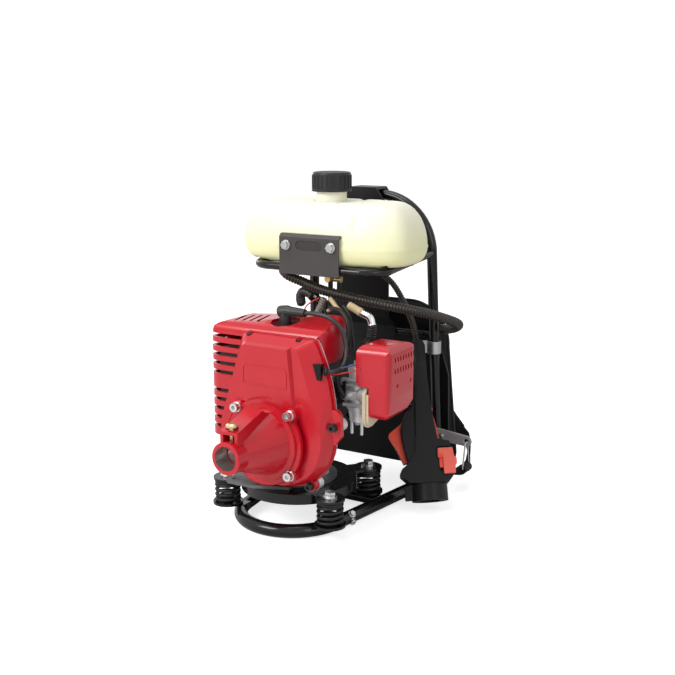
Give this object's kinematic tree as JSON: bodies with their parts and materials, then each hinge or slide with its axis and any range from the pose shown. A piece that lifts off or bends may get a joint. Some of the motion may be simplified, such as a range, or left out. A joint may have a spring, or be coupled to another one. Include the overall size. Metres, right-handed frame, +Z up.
{
  "type": "backpack brush cutter power unit",
  "caption": "Small two-stroke engine with a cutting-pole socket on a sprung tubular back frame, with fuel tank, back pad, straps and a hanging throttle handle.",
  "frame": {"origin": "on the floor, in the middle of the whole unit's plan", "axes": "+X to the right seen from the drive socket, +Y towards the wearer's back, +Z up"},
  "size_m": [0.3035, 0.3828, 0.407],
  "materials": {
    "black_tube": "gloss black stoved paint",
    "grey_plate": "satin dark grey paint",
    "zinc": "galvanised and zinc plated, dull",
    "bolt": "bright zinc plate",
    "yellow_zinc": "yellow zinc plate",
    "tank": "natural polyethylene, slightly see-through",
    "cap": "satin black moulding",
    "black_plastic": "satin black moulding",
    "red_cover": "gloss red",
    "alloy": "cast aluminium, dull",
    "steel": "machined",
    "dark_steel": "sooty",
    "rubber": "matte",
    "grey_rubber": "matte grey",
    "cloth": "woven cloth over foam",
    "beige": "beige moulding",
    "orange": "orange red moulding",
    "brass": "plain",
    "rope": "braided",
    "porcelain": "glazed porcelain",
    "foam": "open foam"
  },
  "bodies": {
    "frame": {"base_tube": "black_tube", "cross_bars": "black_tube", "back_frame": "black_tube", "spine_plate": "black_plastic", "back_board": "black_plastic", "back_pad": "cloth", "shoulder_straps": "cloth", "strap_anchors": "grey_plate", "strap_rings": "zinc", "tank_cradle": "black_tube", "tank_bracket": "grey_plate", "frame_bolts": "bolt", "fuel_tank": "tank", "fuel_cock": "brass", "fuel_hose": "rubber", "spring_seats": "black_tube", "mount_springs": "black_tube", "handle_front": "black_plastic", "handle_rear": "black_plastic", "p_clamp": "zinc", "conduits": "black_plastic"},
    "cap_thread": {"cap_liner": "rubber"},
    "cap": {"fuel_cap": "cap"},
    "cock_lever": {"fuel_cock_lever": "brass"},
    "engine": {"platform": "black_tube", "spring_bolts": "bolt", "turntable": "zinc", "crankcase": "alloy", "cylinder": "alloy", "cylinder_shroud": "red_cover", "front_cover": "red_cover", "clutch_housing": "red_cover", "engine_bolts": "bolt", "starter_housing": "black_plastic", "starter_rope": "rope", "muffler": "dark_steel", "intake_manifold": "black_plastic", "carburettor": "alloy", "float_bowl": "alloy", "air_cleaner_base": "beige", "air_cleaner_cover": "red_cover", "air_filter": "foam", "spark_plug": "porcelain", "ht_lead": "grey_rubber", "ignition_coil": "black_plastic", "piston": "alloy", "connecting_rod": "steel", "cable_elbow": "steel"},
    "latch": {"shaft_latch": "yellow_zinc"},
    "crank": {"crankshaft": "steel", "flywheel": "alloy", "clutch_shoes": "dark_steel"},
    "drum": {"clutch_drum": "steel"},
    "pulley": {"starter_pulley": "black_plastic"},
    "grip": {"starter_grip": "grey_rubber"},
    "slide_valve": {"throttle_slide": "steel"},
    "choke": {"choke_lever": "black_plastic"},
    "trigger": {"throttle_trigger": "orange"},
    "lockout": {"lockout_lever": "orange"},
    "switch": {"stop_switch": "orange"}
  },
  "joints": [
    {"name": "platform_bounce", "type": "slide", "parent": "frame", "child": "engine", "axis": [0, 0, 1], "range_m": [-0.003, 0.003], "stiffness_N_per_m": 40000, "deforming": ["mount_springs"]},
    {"name": "crank_spin", "type": "hinge", "parent": "engine", "child": "crank", "pos_m": [-0.0058, -0.0614, 0.111], "axis": [0, 1, 0], "continuous": true},
    {"name": "drum_spin", "type": "hinge", "parent": "engine", "child": "drum", "pos_m": [-0.0058, -0.1334, 0.111], "axis": [0, 1, 0], "continuous": true},
    {"name": "shaft_latch_lift", "type": "slide", "parent": "engine", "child": "latch", "axis": [0, 0, 1], "range_m": [-0.003, 0.004], "stiffness_N_per_m": 400},
    {"name": "starter_pull", "type": "slide", "parent": "engine", "child": "grip", "axis": [-0.995, 0, 0.0998], "range_m": [0, 0.15], "stiffness_N_per_m": 20},
    {"name": "starter_turn", "type": "hinge", "parent": "engine", "child": "pulley", "pos_m": [-0.0058, -0.0174, 0.111], "axis": [0, 1, 0], "range_deg": [0, 331]},
    {"name": "throttle_pull", "type": "hinge", "parent": "frame", "child": "trigger", "pos_m": [0.09069, 0.07444, 0.0991], "axis": [0.451, -0.7743, 0.4439], "range_deg": [0, 14]},
    {"name": "throttle_lift", "type": "slide", "parent": "engine", "child": "slide_valve", "axis": [0, 0, 1], "range_m": [0, 0.01], "stiffness_N_per_m": 300},
    {"name": "lockout_press", "type": "hinge", "parent": "frame", "child": "lockout", "pos_m": [0.10027, 0.08776, 0.11261], "axis": [-0.451, 0.7743, -0.4439], "range_deg": [0, 10], "stiffness_Nm_per_rad": 0.4},
    {"name": "stop_switch_slide", "type": "slide", "parent": "frame", "child": "switch", "axis": [-0.2831, 0.3476, 0.8939], "range_m": [-0.003, 0.003]},
    {"name": "choke_turn", "type": "hinge", "parent": "engine", "child": "choke", "pos_m": [0.0662, -0.0634, 0.177], "axis": [0, 1, 0], "range_deg": [0, 60]},
    {"name": "cap_turn", "type": "hinge", "parent": "cap_thread", "child": "cap", "pos_m": [-0.0058, 0.0296, 0.38], "axis": [0, 0, 1], "range_deg": [0, 541]},
    {"name": "cap_lift", "type": "slide", "parent": "frame", "child": "cap_thread", "axis": [0, 0, 1], "range_m": [0, 0.006]},
    {"name": "fuel_cock_turn", "type": "hinge", "parent": "frame", "child": "cock_lever", "pos_m": [0.0062, 0.0066, 0.282], "axis": [1, 0, 0], "range_deg": [0, 90]}
  ],
  "couplings": [
    {"joint": "starter_turn", "follows": "starter_pull", "rad_per_m": 38.46},
    {"joint": "throttle_pull", "follows": "throttle_lift", "rad_per_m": 24.4},
    {"joint": "cap_turn", "follows": "cap_lift", "rad_per_m": 1570.8}
  ]
}
